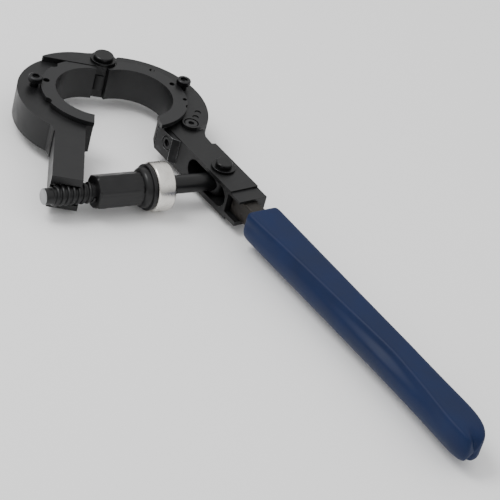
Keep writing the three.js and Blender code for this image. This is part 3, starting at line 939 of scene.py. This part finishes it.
NOTCH = {"reach": -3.4, "y": 11.6, "width": 2.6}


def smooth_path(points, count):
    """Evenly spaced points round a closed path of (y, z) corners."""
    lengths = [math.dist(a, b) for a, b in zip(points, points[1:] + points[:1])]
    total, walked, result, i = sum(lengths), 0.0, [], 0
    for k in range(count):
        target = total * k / count
        while walked + lengths[i] < target:
            walked += lengths[i]
            i += 1
        t = (target - walked) / lengths[i]
        a, b = points[i], points[(i + 1) % len(points)]
        result.append((a[0] + (b[0] - a[0]) * t, a[1] + (b[1] - a[1]) * t))
    return result


def grip_corners(far, ridge, near, top):
    """Corners of the grip's section: flat top, crisp near ridge, rounded near side, full far side."""
    return [
        (ridge, top - 0.15), (ridge - 0.7, top - 1.1), (ridge - 1.4, top - 3.4), (near + 0.5, 16.8),
        (near, 13.0), (near + 0.3, 9.6), (near + 1.5, 6.0), (near + 3.6, 3.0), (near + 6.4, 1.0),
        (near + 9.0, 0.15), (far - 4.5, 0.1), (far - 1.6, 0.9), (far + 0.4, 2.8), (far + 1.2, 5.4),
        (far + 1.5, 18.5), (far + 1.3, 21.4), (far + 0.5, 23.2), (far - 1.0, top - 0.05), (ridge + 0.8, top),
    ]


def swell(bump, y):
    """How far a bump pushes the grip's end along the handle, at a place y across it."""
    return bump["reach"] * math.exp(-((y - bump["y"]) / bump["width"]) ** 2)


def grip_rings():
    """Rings of the grip from inside the bar's hole, out at its mouth and along to the notched end."""
    bar_low, bar_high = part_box("handle_bar")
    rings = []
    low_y, high_y = bar_low.y - BAR_CLEARANCE, bar_high.y + BAR_CLEARANCE
    low_z, high_z = bar_low.z - BAR_CLEARANCE, bar_high.z + BAR_CLEARANCE
    inner = [(low_y, high_z), (low_y, low_z), (high_y, low_z), (high_y, high_z)]
    hole = smooth_path(inner, GRIP_POINTS)
    start = (GRIP_ROWS[0][0] + BORE_CENTRE.x) * MM
    for x in (bar_high.x + 0.3 * MM, start + 1.2 * MM, start + 0.2 * MM):
        rings.append([Vector((x, y, z)) for y, z in hole])
    for x, far, ridge, near, top in GRIP_ROWS:
        path = smooth_path(grip_corners(far, ridge, near, top), GRIP_POINTS)
        ring = []
        for y, z in path:
            shift = 0.0
            if x > GRIP_END:
                middle_y = (far + near) / 2.0
                squeeze = END_SQUEEZE[x]
                y, z = middle_y + (y - middle_y) * squeeze, GRIP_MIDDLE + (z - GRIP_MIDDLE) * squeeze
                shift = swell(LOBE, y) + swell(NOTCH, y)
            ring.append((Vector((x + shift, y, z)) + BORE_CENTRE) * MM)
        rings.append(ring)
    return rings


class CUTTER_OT_grip(bpy.types.Operator):
    """The dipped vinyl grip"""

    bl_idname = "cutter.grip"
    bl_label = "Grip"

    def execute(self, context):
        shape = bmesh.new()
        loops = [[shape.verts.new(p) for p in ring] for ring in grip_rings()]
        for low, high in zip(loops, loops[1:]):
            for i in range(GRIP_POINTS):
                j = (i + 1) % GRIP_POINTS
                shape.faces.new([low[i], low[j], high[j], high[i]])
        for loop in (loops[0], loops[-1]):
            middle = shape.verts.new(sum((v.co for v in loop), Vector()) / len(loop))
            for i in range(GRIP_POINTS):
                shape.faces.new([loop[i], loop[(i + 1) % GRIP_POINTS], middle])
        bmesh.ops.recalc_face_normals(shape, faces=shape.faces)
        for face in shape.faces:
            face.smooth = True
        mesh = bpy.data.meshes.new("grip")
        shape.to_mesh(mesh)
        shape.free()
        piece = new_piece("grip_vinyl", mesh)
        settle(piece, "grip_vinyl", "right_side", ["grip"], [vinyl_finish()])
        smooth = piece.modifiers.new("Smooth", "SUBSURF")
        smooth.levels = 2
        smooth.render_levels = 2
        return {"FINISHED"}


# ------------------------------------------------------------------ panel and running
OPERATORS = (
    CUTTER_OT_stage, CUTTER_OT_jaws, CUTTER_OT_half_nut, CUTTER_OT_inserts, CUTTER_OT_block,
    CUTTER_OT_fasteners, CUTTER_OT_blade, CUTTER_OT_spindle, CUTTER_OT_feed_screw, CUTTER_OT_handle,
    CUTTER_OT_grip,
)


class CUTTER_PT_panel(bpy.types.Panel):
    bl_label = "Pipe cutter"
    bl_idname = "CUTTER_PT_panel"
    bl_space_type = "VIEW_3D"
    bl_region_type = "UI"
    bl_category = "Cutter"

    def draw(self, context):
        for group in (context.scene.cutter_sizes, context.scene.cutter_colours):
            for name in group.__annotations__:
                self.layout.prop(group, name)
        for operator in OPERATORS:
            self.layout.operator(operator.bl_idname)


CLASSES = (CutterSizes, CutterColours, *OPERATORS, CUTTER_PT_panel)


def register():
    for cls in CLASSES:
        bpy.utils.register_class(cls)
    bpy.types.Scene.cutter_sizes = PointerProperty(type=CutterSizes)
    bpy.types.Scene.cutter_colours = PointerProperty(type=CutterColours)


def unregister():
    del bpy.types.Scene.cutter_colours
    del bpy.types.Scene.cutter_sizes
    for cls in reversed(CLASSES):
        bpy.utils.unregister_class(cls)


def main():
    register()
    for operator in OPERATORS:
        group, name = operator.bl_idname.split(".")
        getattr(getattr(bpy.ops, group), name)()


if __name__ == "__main__":
    main()
